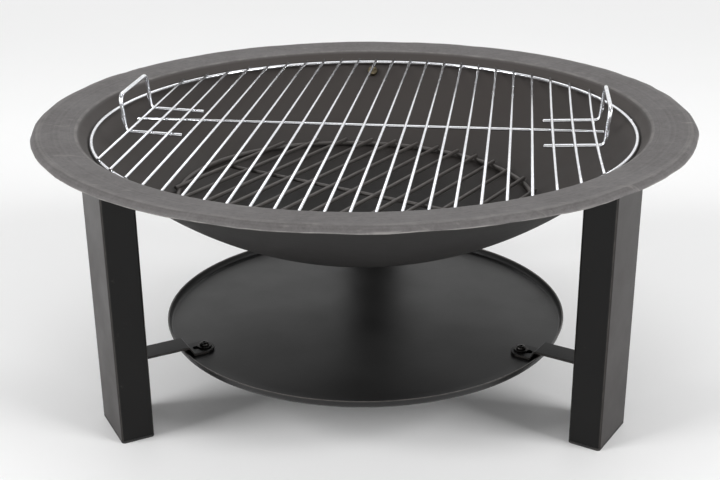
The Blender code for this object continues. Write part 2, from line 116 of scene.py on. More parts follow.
def addCamera(settings):
    deselectAll()
    bpy.ops.object.camera_add(location=settings["place"])
    camera = bpy.context.object
    camera.name = "studioCamera"
    heading = Matrix.Rotation(-settings["yaw"], 4, "Z")
    tip = Matrix.Rotation(math.pi / 2 + settings["pitch"], 4, "X")
    level = Matrix.Rotation(settings["roll"], 4, "Z")
    place = Matrix.Translation(settings["place"])
    camera.matrix_world = place @ heading @ tip @ level
    camera.data.lens = settings["lens"]
    camera.data.sensor_width = settings["sensor"]
    scene.camera = camera


def addFloor(settings):
    deselectAll()
    bpy.ops.mesh.primitive_plane_add(size=settings["floorSize"])
    floor = bpy.context.object
    floor.name = "studioFloor"
    material, tree = newFinish("paintedStudioFloor")  # matt white emulsion, even and soft
    coords = addNode(tree, "ShaderNodeTexCoord")
    cloud = addNode(tree, "ShaderNodeTexNoise", {"Scale": 2.0, "Detail": 3.0},
                    {"Vector": coords.outputs["Object"]})
    tone = addNode(tree, "ShaderNodeMix",
                   {"data_type": "RGBA", 6: linear(settings["floorColour"]),
                    7: linear(settings["floorCloud"])},
                   {0: cloud.outputs["Fac"]})
    paint = addNode(tree, "ShaderNodeBsdfPrincipled",
                    {"Roughness": 0.62, "Specular IOR Level": 0.3},
                    {"Base Color": tone.outputs[2]})
    glow = addNode(tree, "ShaderNodeEmission",
                   {"Color": linear(settings["roomColour"]),
                    "Strength": settings["sweepStrength"]})
    away = addNode(tree, "ShaderNodeVectorMath", {"operation": "LENGTH"},
                   {0: coords.outputs["Object"]})
    away = addNode(tree, "ShaderNodeMapRange",
                   {"interpolation_type": "SMOOTHSTEP", "From Min": settings["glowFrom"],
                    "From Max": settings["glowTo"]},
                   {"Value": away.outputs["Value"]})
    shader = addNode(tree, "ShaderNodeMixShader", None,
                     {0: away.outputs["Result"], 1: paint.outputs["BSDF"],
                      2: glow.outputs["Emission"]})
    addNode(tree, "ShaderNodeOutputMaterial", None, {"Surface": shader.outputs["Shader"]})
    floor.data.materials.append(material)


def addRoom(settings):  # the light all round: a bright low sweep under a dimmer ceiling
    world = bpy.data.worlds.new("studioRoom")
    scene.world = world
    world.use_nodes = True
    tree = world.node_tree
    backdrop = tree.nodes["Background"]
    backdrop.inputs["Color"].default_value = linear(settings["roomColour"])
    look = addNode(tree, "ShaderNodeTexCoord").outputs["Generated"]
    rise = addNode(tree, "ShaderNodeSeparateXYZ", None, {0: look}).outputs["Z"]
    low, high = settings["sweepTop"]
    fade = addNode(tree, "ShaderNodeMapRange",
                   {"interpolation_type": "SMOOTHSTEP", "From Min": low, "From Max": high,
                    "To Min": settings["sweepStrength"], "To Max": settings["ceilingStrength"]},
                   {"Value": rise})
    tree.links.new(fade.outputs["Result"], backdrop.inputs["Strength"])


def addSoftboxes(settings):
    deselectAll()
    for name, place, width, height, power in settings["softboxes"]:
        bpy.ops.object.light_add(type="AREA", location=place)
        softbox = bpy.context.object
        softbox.name = name
        softbox.data.shape = "RECTANGLE"
        softbox.data.size = width
        softbox.data.size_y = height
        softbox.data.energy = power
        softbox.visible_camera = False
        aim = Vector(settings["aim"]) - Vector(place)
        softbox.rotation_euler = aim.to_track_quat("-Z", "Y").to_euler()


addCamera(cameraSettings)
addFloor(studioSettings)
addRoom(studioSettings)
addSoftboxes(studioSettings)
print("camera, floor and light are set")


# finishes

paintSettings = {
    "bowlDark": "#2f2b29",
    "bowlWarm": "#3b3532",
    # painted sheen: the rim's colours, paler than the inside's
    "rimSheenGrey": "#4a4746",
    "rimSheenPale": "#636060",
    "scuff": "#8f8b87",
    # bare steel where the paint is rubbed, also the colour of painted highlight lines
    "bareEdgeAndHighlight": "#a9a6a2",
    # painted shade under the charcoal grate
    "underGrateShade": "#161413",
    # painted shade on the underside of the bowl
    "undersideShade": "#171514",
    "mouthRadius": 0.346,
}


def makeHeatPaint(settings):
    # Silicone heat paint sprayed on pressed steel: dead matt and warm grey black, with faint
    # turning rings and rubbed spots at the edges. The rim is painted a little paler than the
    # inside as a painted sheen. The middle of the bowl, under the charcoal grate, and the
    # underside are painted darker as painted shade. The pale lines along the turned edge of the
    # rim, the crease and the mouth are partly rubbed paint and partly painted highlights.
    material, tree = newFinish("siliconeHeatPaint")
    coords = addNode(tree, "ShaderNodeTexCoord").outputs["Object"]
    plan = addNode(tree, "ShaderNodeVectorMath",
                   {"operation": "MULTIPLY", 1: (1.0, 1.0, 0.0)}, {0: coords})
    radius = addNode(tree, "ShaderNodeVectorMath", {"operation": "LENGTH"},
                     {0: plan.outputs["Vector"]}).outputs["Value"]
    rim = addNode(tree, "ShaderNodeMapRange",
                  {"From Min": settings["mouthRadius"] - 0.0035,
                   "From Max": settings["mouthRadius"] + 0.0015},
                  {"Value": radius}).outputs["Result"]
    cloud = addNode(tree, "ShaderNodeTexNoise",
                    {"Scale": 11.0, "Detail": 5.0, "Roughness": 0.6}, {"Vector": coords})
    rings = addNode(tree, "ShaderNodeTexNoise",  # 3 mm turning rings left by the press tool
                    {"noise_dimensions": "1D", "Scale": 330.0, "Detail": 2.0}, {"W": radius})
    grain = addNode(tree, "ShaderNodeTexNoise",  # spray grain is 0.3 mm, drawn 1.4 mm to show
                    {"Scale": 700.0, "Detail": 3.0, "Roughness": 0.7}, {"Vector": coords})
    inside = addNode(tree, "ShaderNodeMix",
                     {"data_type": "RGBA", 6: linear(settings["bowlDark"]),
                      7: linear(settings["bowlWarm"])},
                     {0: cloud.outputs["Fac"]})
    underGrateShading = addNode(tree, "ShaderNodeMapRange",  # painted shade: darker under the charcoal grate, where the coals lie
                    {"From Min": 0.27, "From Max": 0.14, "To Max": 0.9}, {"Value": radius})
    inside = addNode(tree, "ShaderNodeMix",
                     {"data_type": "RGBA", 7: linear(settings["underGrateShade"])},
                     {0: underGrateShading.outputs["Result"], 6: inside.outputs[2]})
    # painted shade: faces that look down get a darker colour
    facing = addNode(tree, "ShaderNodeNewGeometry").outputs["Normal"]
    up = addNode(tree, "ShaderNodeSeparateXYZ", None, {0: facing}).outputs["Z"]
    shadedBelow = addNode(tree, "ShaderNodeMapRange", {"From Min": 0.1, "From Max": -0.1},
                    {"Value": up})
    inside = addNode(tree, "ShaderNodeMix",
                     {"data_type": "RGBA", 7: linear(settings["undersideShade"])},
                     {0: shadedBelow.outputs["Result"], 6: inside.outputs[2]})
    mottle = addNode(tree, "ShaderNodeTexNoise",  # uneven spray, in patches of 10 to 30 mm
                     {"Scale": 48.0, "Detail": 6.0, "Roughness": 0.7, "Distortion": 0.8},
                     {"Vector": coords})
    ringTone = addNode(tree, "ShaderNodeMix", {"data_type": "FLOAT", 0: 0.35},
                       {2: mottle.outputs["Fac"], 3: rings.outputs["Fac"]})
    speckle = addNode(tree, "ShaderNodeTexNoise",  # dry overspray, drawn 4 mm coarse to show
                      {"Scale": 250.0, "Detail": 4.0, "Roughness": 0.75},
                      {"Vector": coords})
    ringTone = addNode(tree, "ShaderNodeMix", {"data_type": "FLOAT", 0: 0.40},
                       {2: ringTone.outputs[0], 3: speckle.outputs["Fac"]})
    ringTone = addNode(tree, "ShaderNodeMapRange", {"From Min": 0.36, "From Max": 0.64},
                       {"Value": ringTone.outputs[0]})
    # painted sheen: the rim is given these paler colours
    outside = addNode(tree, "ShaderNodeMix",
                      {"data_type": "RGBA", 6: linear(settings["rimSheenGrey"]),
                       7: linear(settings["rimSheenPale"])},
                      {0: ringTone.outputs["Result"]})
    colour = addNode(tree, "ShaderNodeMix", {"data_type": "RGBA"},
                     {0: rim, 6: inside.outputs[2], 7: outside.outputs[2]})
    streaks = addNode(tree, "ShaderNodeMapping", {"Scale": (26.0, 90.0, 30.0),
                      "Rotation": (0.0, 0.0, 0.6)}, {"Vector": coords})
    streaks = addNode(tree, "ShaderNodeTexNoise",  # rubbed scuffs 10 to 40 mm long
                      {"Scale": 1.0, "Detail": 4.0, "Roughness": 0.65},
                      {"Vector": streaks.outputs["Vector"]})
    scuff = addNode(tree, "ShaderNodeMapRange",
                    {"From Min": 0.63, "From Max": 0.80, "To Max": 0.65},
                    {"Value": streaks.outputs["Fac"]})
    scuff = addNode(tree, "ShaderNodeMath", {"operation": "MULTIPLY"},
                    {0: scuff.outputs["Result"], 1: rim})
    colour = addNode(tree, "ShaderNodeMix",
                     {"data_type": "RGBA", 7: linear(settings["scuff"])},
                     {0: scuff.outputs["Value"], 6: colour.outputs[2]})
    # rubbed paint and painted highlight lines, from the values set on the vertices
    edge = addNode(tree, "ShaderNodeAttribute", {"attribute_name": "wearAndHighlight"})
    patchy = addNode(tree, "ShaderNodeTexNoise", {"Scale": 55.0, "Detail": 4.0},
                     {"Vector": coords})
    patchy = addNode(tree, "ShaderNodeMapRange",
                     {"From Min": 0.36, "From Max": 0.66, "To Min": 0.3},
                     {"Value": patchy.outputs["Fac"]})
    edge = addNode(tree, "ShaderNodeMath", {"operation": "MULTIPLY"},
                   {0: edge.outputs["Fac"], 1: patchy.outputs["Result"]})
    colour = addNode(tree, "ShaderNodeMix",
                     {"data_type": "RGBA", 7: linear(settings["bareEdgeAndHighlight"])},
                     {0: edge.outputs["Value"], 6: colour.outputs[2]})
    rough = addNode(tree, "ShaderNodeMapRange",
                    {"From Min": 0.3, "From Max": 0.7, "To Min": 0.60, "To Max": 0.74},
                    {"Value": cloud.outputs["Fac"]})
    ridges = addNode(tree, "ShaderNodeBump", {"Strength": 0.25, "Distance": 0.0004},
                     {"Height": rings.outputs["Fac"]})
    bump = addNode(tree, "ShaderNodeBump", {"Strength": 0.30, "Distance": 0.0004},
                   {"Height": grain.outputs["Fac"], "Normal": ridges.outputs["Normal"]})
    shader = addNode(tree, "ShaderNodeBsdfPrincipled", {"IOR": 1.5, "Metallic": 0.0},
                     {"Base Color": colour.outputs[2], "Roughness": rough.outputs["Result"],
                      "Normal": bump.outputs["Normal"]})
    addNode(tree, "ShaderNodeOutputMaterial", None, {"Surface": shader.outputs["BSDF"]})
    return material


powderSettings = {
    "black": "#090909",
    "warmBlack": "#100f0e",
    "scuff": "#57534f",
    # colour of the rubbed edges and of the painted edge highlights
    "edge": "#6f6a66",
    # painted light: colour of the outer faces, which the side lamps light
    "outerFaceLight": "#372d2a",
    "gloss": 1.30,  # index of refraction
    "roughness": 0.32,
    "scuffs": 0.4,  # how far the scuffs and the painted light on the outer faces show
    "lighterShare": 0.26,
}
shelfCoatSettings = {
    **powderSettings,
    "black": "#0f0f0f",
    "warmBlack": "#151414",
    "gloss": 1.43,
    "roughness": 0.35,
    "scuffs": 0.05,
    "lighterShare": 0.0,
}


def makePowderCoat(name, settings):
    # Satin black powder coat, sprayed and baked on steel: fine orange peel, soft broad
    # reflections, grey rubbed patches and edges that show a little paler, partly rubbed and
    # partly a painted highlight. The outer faces, which the side lamps light, are painted
    # lighter as painted light.
    material, tree = newFinish(name)
    coords = addNode(tree, "ShaderNodeTexCoord").outputs["Object"]
    cloud = addNode(tree, "ShaderNodeTexNoise",
                    {"Scale": 14.0, "Detail": 4.0, "Roughness": 0.6}, {"Vector": coords})
    peel = addNode(tree, "ShaderNodeTexNoise",  # orange peel of about 2 mm
                   {"Scale": 480.0, "Detail": 2.0}, {"Vector": coords})
    base = addNode(tree, "ShaderNodeMix",
                   {"data_type": "RGBA", 6: linear(settings["black"]),
                    7: linear(settings["warmBlack"])},
                   {0: cloud.outputs["Fac"]})
    flat = addNode(tree, "ShaderNodeVectorMath",  # painted light: the outer faces, lit by the side lamps, are painted lighter
                   {"operation": "MULTIPLY", 1: (1.0, 1.0, 0.0)}, {0: coords})
    outward = addNode(tree, "ShaderNodeVectorMath", {"operation": "NORMALIZE"},
                      {0: flat.outputs["Vector"]})
    facing = addNode(tree, "ShaderNodeNewGeometry").outputs["Normal"]
    outer = addNode(tree, "ShaderNodeVectorMath", {"operation": "DOT_PRODUCT"},
                    {0: outward.outputs["Vector"], 1: facing})
    outer = addNode(tree, "ShaderNodeMapRange",
                    {"From Min": 0.80, "From Max": 0.96, "To Max": settings["lighterShare"]},
                    {"Value": outer.outputs["Value"]})
    base = addNode(tree, "ShaderNodeMix",
                   {"data_type": "RGBA", 7: linear(settings["outerFaceLight"])},
                   {0: outer.outputs["Result"], 6: base.outputs[2]})
    rub = addNode(tree, "ShaderNodeTexNoise",
                  {"Scale": 42.0, "Detail": 6.0, "Roughness": 0.72, "Distortion": 0.6},
                  {"Vector": coords})
    rub = addNode(tree, "ShaderNodeMapRange",
                  {"From Min": 0.64, "From Max": 0.80, "To Max": settings["scuffs"]},
                  {"Value": rub.outputs["Fac"]})
    colour = addNode(tree, "ShaderNodeMix",
                     {"data_type": "RGBA", 7: linear(settings["scuff"])},
                     {0: rub.outputs["Result"], 6: base.outputs[2]})
    # rubbed edges and painted edge highlights, from the values set on the vertices
    wearAndHighlight = addNode(tree, "ShaderNodeAttribute", {"attribute_name": "wearAndHighlight"})
    chips = addNode(tree, "ShaderNodeTexNoise", {"Scale": 90.0, "Detail": 5.0},
                    {"Vector": coords})
    chips = addNode(tree, "ShaderNodeMapRange",
                    {"From Min": 0.35, "From Max": 0.70, "To Min": 0.25, "To Max": 0.6},
                    {"Value": chips.outputs["Fac"]})
    wearAndHighlight = addNode(tree, "ShaderNodeMath", {"operation": "MULTIPLY"},
                   {0: wearAndHighlight.outputs["Fac"], 1: chips.outputs["Result"]})
    colour = addNode(tree, "ShaderNodeMix",
                     {"data_type": "RGBA", 7: linear(settings["edge"])},
                     {0: wearAndHighlight.outputs["Value"], 6: colour.outputs[2]})
    rough = addNode(tree, "ShaderNodeMapRange",
                    {"From Min": 0.3, "From Max": 0.7, "To Min": settings["roughness"] - 0.04,
                     "To Max": settings["roughness"] + 0.06},
                    {"Value": cloud.outputs["Fac"]})
    bump = addNode(tree, "ShaderNodeBump", {"Strength": 0.12, "Distance": 0.0003},
                   {"Height": peel.outputs["Fac"]})
    shader = addNode(tree, "ShaderNodeBsdfPrincipled",
                     {"IOR": settings["gloss"], "Metallic": 0.0},
                     {"Base Color": colour.outputs[2], "Roughness": rough.outputs["Result"],
                      "Normal": bump.outputs["Normal"]})
    addNode(tree, "ShaderNodeOutputMaterial", None, {"Surface": shader.outputs["BSDF"]})
    return material


metalSettings = {  # bright and dull colours, lowest and highest roughness, patches in a metre
    "chrome": ("#fbfcff", "#eceef2", 0.16, 0.26, 120.0),
    "zinc": ("#8c8168", "#423a2e", 0.28, 0.48, 300.0),
    "oxide": ("#3a3938", "#2b2928", 0.24, 0.42, 260.0),
}


def makePlating(name, settings):
    # Thin electroplate on drawn or cold-formed steel: bright, with duller clouded patches
    # where the bath left it thin.
    bright, dull, roughLow, roughHigh, scale = settings
    material, tree = newFinish(name)
    coords = addNode(tree, "ShaderNodeTexCoord").outputs["Object"]
    cloud = addNode(tree, "ShaderNodeTexNoise",
                    {"Scale": scale, "Detail": 4.0, "Roughness": 0.65}, {"Vector": coords})
    patch = addNode(tree, "ShaderNodeMapRange", {"From Min": 0.38, "From Max": 0.68},
                    {"Value": cloud.outputs["Fac"]})
    colour = addNode(tree, "ShaderNodeMix",
                     {"data_type": "RGBA", 6: linear(bright), 7: linear(dull)},
                     {0: patch.outputs["Result"]})
    rough = addNode(tree, "ShaderNodeMapRange", {"To Min": roughLow, "To Max": roughHigh},
                    {"Value": patch.outputs["Result"]})
    bump = addNode(tree, "ShaderNodeBump", {"Strength": 0.03, "Distance": 0.0002},
                   {"Height": cloud.outputs["Fac"]})
    shader = addNode(tree, "ShaderNodeBsdfPrincipled", {"Metallic": 1.0},
                     {"Base Color": colour.outputs[2], "Roughness": rough.outputs["Result"],
                      "Normal": bump.outputs["Normal"]})
    addNode(tree, "ShaderNodeOutputMaterial", None, {"Surface": shader.outputs["BSDF"]})
    return material


# the pale grey is a painted highlight on the tops of the wires
wireSettings = {"black": "#302d2b", "grey": "#4f4b48", "topHighlightGrey": "#8a8582"}


def makeWirePaint(settings):
    # Welded steel wire dipped in matt black paint, patchy grey where it wears thin; the tops
    # of the wires carry a patchy painted highlight in pale grey.
    material, tree = newFinish("dippedWirePaint")
    coords = addNode(tree, "ShaderNodeTexCoord").outputs["Object"]
    cloud = addNode(tree, "ShaderNodeTexNoise",
                    {"Scale": 60.0, "Detail": 5.0, "Roughness": 0.7}, {"Vector": coords})
    facing = addNode(tree, "ShaderNodeNewGeometry").outputs["Normal"]
    up = addNode(tree, "ShaderNodeSeparateXYZ", None, {0: facing}).outputs["Z"]
    # painted highlight: the tops of the wires are painted pale grey in patches
    top = addNode(tree, "ShaderNodeMapRange", {"From Min": 0.55, "From Max": 1.0,
                  "To Max": 0.5}, {"Value": up})
    base = addNode(tree, "ShaderNodeMix",
                   {"data_type": "RGBA", 6: linear(settings["black"]),
                    7: linear(settings["grey"])},
                   {0: cloud.outputs["Fac"]})
    topHighlight = addNode(tree, "ShaderNodeMath", {"operation": "MULTIPLY"},
                   {0: top.outputs["Result"], 1: cloud.outputs["Fac"]})
    colour = addNode(tree, "ShaderNodeMix",
                     {"data_type": "RGBA", 7: linear(settings["topHighlightGrey"])},
                     {0: topHighlight.outputs["Value"], 6: base.outputs[2]})
    bump = addNode(tree, "ShaderNodeBump", {"Strength": 0.3, "Distance": 0.0003},
                   {"Height": cloud.outputs["Fac"]})
    shader = addNode(tree, "ShaderNodeBsdfPrincipled", {"IOR": 1.5, "Roughness": 0.5},
                     {"Base Color": colour.outputs[2], "Normal": bump.outputs["Normal"]})
    addNode(tree, "ShaderNodeOutputMaterial", None, {"Surface": shader.outputs["BSDF"]})
    return material


plasticSettings = {"black": "#191919", "dusty": "#34322f"}


def makeFootPlastic(settings):
    # Injection-moulded polyethylene end cap: waxy black with a fine spark-eroded grain and
    # floor dust rubbed into it.
    material, tree = newFinish("mouldedPolyethylene")
    coords = addNode(tree, "ShaderNodeTexCoord").outputs["Object"]
    lighterShare = addNode(tree, "ShaderNodeTexNoise", {"Scale": 70.0, "Detail": 5.0},
                   {"Vector": coords})
    grain = addNode(tree, "ShaderNodeTexNoise",  # grain is 0.2 mm, drawn 0.8 mm to show
                    {"Scale": 1200.0, "Detail": 2.0}, {"Vector": coords})
    lighterShare = addNode(tree, "ShaderNodeMapRange", {"From Min": 0.45, "From Max": 0.75},
                   {"Value": lighterShare.outputs["Fac"]})
    colour = addNode(tree, "ShaderNodeMix",
                     {"data_type": "RGBA", 6: linear(settings["black"]),
                      7: linear(settings["dusty"])},
                     {0: lighterShare.outputs["Result"]})
    bump = addNode(tree, "ShaderNodeBump", {"Strength": 0.2, "Distance": 0.0002},
                   {"Height": grain.outputs["Fac"]})
    shader = addNode(tree, "ShaderNodeBsdfPrincipled", {"IOR": 1.5, "Roughness": 0.55},
                     {"Base Color": colour.outputs[2], "Normal": bump.outputs["Normal"]})
    addNode(tree, "ShaderNodeOutputMaterial", None, {"Surface": shader.outputs["BSDF"]})
    return material


heatPaint = makeHeatPaint(paintSettings)
legCoat = makePowderCoat("satinPowderCoat", powderSettings)
shelfCoat = makePowderCoat("smoothPowderCoat", shelfCoatSettings)
chromePlate = makePlating("nickelChromePlate", metalSettings["chrome"])
yellowZinc = makePlating("yellowPassivatedZinc", metalSettings["zinc"])
blackOxide = makePlating("blackOxideSteel", metalSettings["oxide"])
wirePaint = makeWirePaint(wireSettings)
footPlastic = makeFootPlastic(plasticSettings)
print("finishes are mixed")


# modelling helpers

smoothBelow = math.radians(35)  # bends of up to this angle are shaded smooth
doublesWithin = 0.00001  # vertices this close are merged


def writePlace():  # the active piece's place, turn and size go into its mesh
    bpy.ops.object.transform_apply(location=True, rotation=True, scale=True)


def openPiece(name):  # names the new primitive, writes its place into its mesh, opens it
    piece = bpy.context.object
    piece.name = name
    piece.data.name = name
    writePlace()
    bpy.ops.object.mode_set(mode="EDIT")
    return piece


def pick(piece):  # this piece alone is selected and active
    deselectAll()
    piece.select_set(True)
    bpy.context.view_layer.objects.active = piece


def choose(piece, kind, test):  # selects by middle and by an edge's line or face's normal
    bpy.ops.mesh.select_mode(type=kind)
    bpy.ops.mesh.select_all(action="DESELECT")
    work = bmesh.from_edit_mesh(piece.data)
    if kind == "VERT":
        for vert in work.verts:
            vert.select_set(test(vert.co))
    elif kind == "EDGE":
        for edge in work.edges:
            start, end = (vert.co for vert in edge.verts)
            edge.select_set(test((start + end) / 2, (end - start).normalized()))
    else:
        for face in work.faces:
            face.select_set(test(face.calc_center_median(), face.normal))
    work.select_flush_mode()
    bmesh.update_edit_mesh(piece.data)


def faceOutward():
    bpy.ops.mesh.select_all(action="SELECT")
    bpy.ops.mesh.normals_make_consistent(inside=False)


def extrudeBy(x, y, z):
    bpy.ops.mesh.extrude_region_move(TRANSFORM_OT_translate={"value": (x, y, z)})


def closePiece(piece):
    pick(piece)
    bpy.ops.object.shade_smooth_by_angle(angle=smoothBelow)
    return piece


def applyModifier(piece, kind, **settings):
    leaveEdit()
    bpy.context.view_layer.objects.active = piece
    change = piece.modifiers.new(kind.lower(), kind)
    for name, value in settings.items():
        setattr(change, name, value)
    bpy.ops.object.modifier_apply(modifier=change.name)


def thicken(piece, wall):  # the wall grows inwards from the modelled surface
    applyModifier(piece, "SOLIDIFY", thickness=wall, offset=-1.0, use_even_offset=True)


def roundEdges(piece, width, segments=2, degrees=50):  # those that bend by more than degrees
    applyModifier(piece, "BEVEL", width=width, segments=segments, limit_method="ANGLE",
                  angle_limit=math.radians(degrees))


def closeFlat(piece):  # wide flat faces stay flat beside their rounded edges
    closePiece(piece)
    applyModifier(piece, "WEIGHTED_NORMAL", keep_sharp=True, weight=100)


def fit(piece, material, body, node):
    piece.data.materials.clear()
    piece.data.materials.append(material)
    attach(piece, body)
    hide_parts(node)


def placeAt(piece, place):  # turns and moves a piece, and writes that into its mesh
    pick(piece)
    piece.matrix_world = place
    writePlace()


def copyTo(master, name, place):  # a copy with its own mesh, its place written into it
    pick(master)
    bpy.ops.object.duplicate()
    twin = bpy.context.object
    twin.name = name
    twin.data.name = name
    placeAt(twin, place)
    return twin


def joinAll(pieces):
    deselectAll()
    for piece in pieces:
        piece.select_set(True)
    bpy.context.view_layer.objects.active = pieces[0]
    bpy.ops.object.join()
    return pieces[0]


def removePiece(piece):
    bpy.data.objects.remove(piece, do_unlink=True)


def setWearAndHighlight(piece, amount):  # rubbed edges and painted edge highlights: one value for each vertex, from its place
    layer = piece.data.attributes.new("wearAndHighlight", "FLOAT", "POINT")
    for vert in piece.data.vertices:
        layer.data[vert.index].value = amount(vert.co)


def spinLine(name, line, steps):  # a line of extruded vertices, spun about the upright axis
    deselectAll()
    points = [Vector((r, 0.0, z)) for r, z in line]
    bpy.ops.mesh.primitive_plane_add(size=0.001, location=points[0])
    piece = openPiece(name)
    bpy.ops.mesh.select_all(action="SELECT")
    bpy.ops.mesh.merge(type="CENTER")
    for before, after in zip(points, points[1:]):
        bpy.ops.mesh.extrude_vertices_move(TRANSFORM_OT_translate={"value": after - before})
    bpy.ops.mesh.select_all(action="SELECT")
    bpy.ops.mesh.spin(steps=steps, angle=2 * math.pi, center=(0, 0, 0), axis=(0, 0, 1))
    bpy.ops.mesh.select_all(action="SELECT")
    bpy.ops.mesh.remove_doubles(threshold=doublesWithin)
    faceOutward()
    return piece


def faceUp(piece):  # the upper side of an open sheet is made its outside
    work = bmesh.from_edit_mesh(piece.data)
    middle = min(work.faces, key=lambda face: face.calc_center_median().xy.length)
    if middle.normal.z < 0:
        bpy.ops.mesh.select_all(action="SELECT")
        bpy.ops.mesh.flip_normals()


def cutWith(piece, cutter, operation="DIFFERENCE"):
    applyModifier(piece, "BOOLEAN", operation=operation, solver="EXACT", object=cutter)
    removePiece(cutter)


def azimuthTurn(degrees):
    return Matrix.Rotation(math.radians(degrees), 4, "Z")


legAzimuths = (90, 210, 330)  # back, front left and front right


def setAtLegs(masters):  # copies of each master at the three legs, in place of the master
    for number, azimuth in enumerate(legAzimuths, start=1):
        for master, name, material, slotName, node in masters:
            copy = copyTo(master, f"{name}{number}", azimuthTurn(azimuth))
            fit(copy, material, "stand", f"{node}_{number}")
    for row in masters:
        removePiece(row[0])


# fire bowl

bowlSettings = {
    "flangeWidth": 0.054,
    "flangeRise": 0.004,
    "sheet": 0.003,
    "edgeRound": 0.0006,
    "lipRadius": 0.009,
    "lipTurn": math.radians(75),
    "rimDrop": 0.0002,  # room under the top of the box for the waves
    "mouthRound": 0.003,
    "waveHeight": 0.0030,
    "waveLength": 0.050,
    "arcSteps": 36,
    "mouthSteps": 6,
    "flangeSteps": 9,
    "lipSteps": 8,
    "turnSteps": 192,
    "waveFade": 1.5,  # powers by which waves and dents fade from the rim to the mouth
    "dentFade": 3,
    "lipWearAndHighlight": (0.5, 0.04, 0.66),  # wear with painted highlight, start out from the mouth, drop in lip radii
    "creaseWearAndHighlight": (0.16, 0.0435, 0.0030),  # wear with painted highlight, middle out from the mouth, half width
    "mouthWearAndHighlight": (0.22, -0.0006, 0.0022, 0.006),  # wear with painted highlight, start, end, drop below the top
    "dents": (  # azimuth and half width in degrees, push inwards in metres
        (8, 2.6, 0.0012), (17, 2.4, 0.0016), (27, 3.0, 0.0013), (41, 3.2, 0.0010),
        (137, 3.2, 0.0012), (150, 2.4, 0.0020), (163, 3.0, 0.0010), (180, 2.6, 0.0014),
        (192, 3.0, 0.0012), (214, 3.5, 0.0008), (300, 3.5, 0.0008), (344, 3.0, 0.0010),
    ),
}


def bowlLine(settings, low, high):
    rimRadius = high[0] - settings["waveHeight"] / 2
    rimHeight = high[2] - settings["rimDrop"]
    mouthRadius = high[0] - settings["flangeWidth"]
    mouthHeight = high[2] - settings["flangeRise"]
    depth = mouthHeight - low[2] - settings["sheet"]
    ball = (mouthRadius**2 + depth**2) / (2 * depth)
    mouthAngle = math.asin(mouthRadius / ball)
    arcEnd = mouthAngle - settings["mouthRound"] / ball
    arcSteps, mouthSteps = settings["arcSteps"], settings["mouthSteps"]
    flangeSteps, lipSteps = settings["flangeSteps"], settings["lipSteps"]
    line = []
    for i in range(arcSteps + 1):
        angle = arcEnd * i / arcSteps
        line.append((ball * math.sin(angle), mouthHeight - depth + ball * (1 - math.cos(angle))))
    lipStart = rimRadius - settings["lipRadius"] * math.sin(settings["lipTurn"])
    slope = (rimHeight - mouthHeight) / (lipStart - mouthRadius)
    start = Vector(line[-1])
    corner = Vector((mouthRadius, mouthHeight))
    end = corner + Vector((1.0, slope)).normalized() * settings["mouthRound"]
    for i in range(1, mouthSteps + 1):
        t = i / mouthSteps
        line.append(tuple(start * (1 - t)**2 + corner * 2 * t * (1 - t) + end * t**2))
    for i in range(1, flangeSteps):
        r = end.x + (lipStart - end.x) * i / flangeSteps
        line.append((r, mouthHeight + slope * (r - mouthRadius)))
    for i in range(lipSteps + 1):
        angle = settings["lipTurn"] * i / lipSteps
        line.append((lipStart + settings["lipRadius"] * math.sin(angle),
                     rimHeight - settings["lipRadius"] * (1 - math.cos(angle))))
    return line


def makeBowl(settings):
    low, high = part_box("bowl")
    bowl = spinLine("fireBowl", bowlLine(settings, low, high), settings["turnSteps"])
    faceUp(bowl)
    leaveEdit()
    rim = bowl.vertex_groups.new(name="rim")
    for vert in bowl.data.vertices:
        reach = (vert.co.xy.length - high[0] + settings["flangeWidth"]) / settings["flangeWidth"]
        reach = min(max(reach, 0.0), 1.0)
        rim.add([vert.index], reach**settings["waveFade"], "REPLACE")
        azimuth = math.degrees(math.atan2(vert.co.y, vert.co.x)) % 360
        push = sum(depth * math.exp(-((azimuth - middle) / width)**2)
                   for middle, width, depth in settings["dents"])
        vert.co.xy *= 1 - push * reach**settings["dentFade"] / high[0]
    waves = bpy.data.textures.new("handPressedWaves", "CLOUDS")
    waves.noise_scale = settings["waveLength"]
    waves.noise_depth = 2
    waves.cloud_type = "COLOR"
    applyModifier(bowl, "DISPLACE", texture=waves, texture_coords="LOCAL",
                  direction="RGB_TO_XYZ", strength=settings["waveHeight"],
                  vertex_group="rim")
    thicken(bowl, settings["sheet"])
    roundEdges(bowl, settings["edgeRound"])
    closePiece(bowl)
    mouth = high[0] - settings["flangeWidth"]
    lipWearAndHighlight, lipFrom, lipDrop = settings["lipWearAndHighlight"]
    lipTop = high[2] - settings["lipRadius"] * lipDrop
    creaseWearAndHighlight, creaseAt, creaseHalf = settings["creaseWearAndHighlight"]
    crease = mouth + creaseAt
    mouthWearAndHighlight, mouthFrom, mouthTo, mouthDrop = settings["mouthWearAndHighlight"]

    def rubbedAndHighlit(co):  # rubbed paint and painted highlights: the turned edge of the rim and the creases beside it and at the mouth
        r = co.xy.length
        if r > mouth + lipFrom:
            return lipWearAndHighlight if co.z < lipTop else creaseWearAndHighlight * (abs(r - crease) < creaseHalf)
        atMouth = mouth + mouthFrom < r < mouth + mouthTo
        return mouthWearAndHighlight if atMouth and co.z > high[2] - mouthDrop else 0.0

    setWearAndHighlight(bowl, rubbedAndHighlit)
    fit(bowl, heatPaint, "stand", "bowl")


makeBowl(bowlSettings)
print("fire bowl is made")


# log shelf

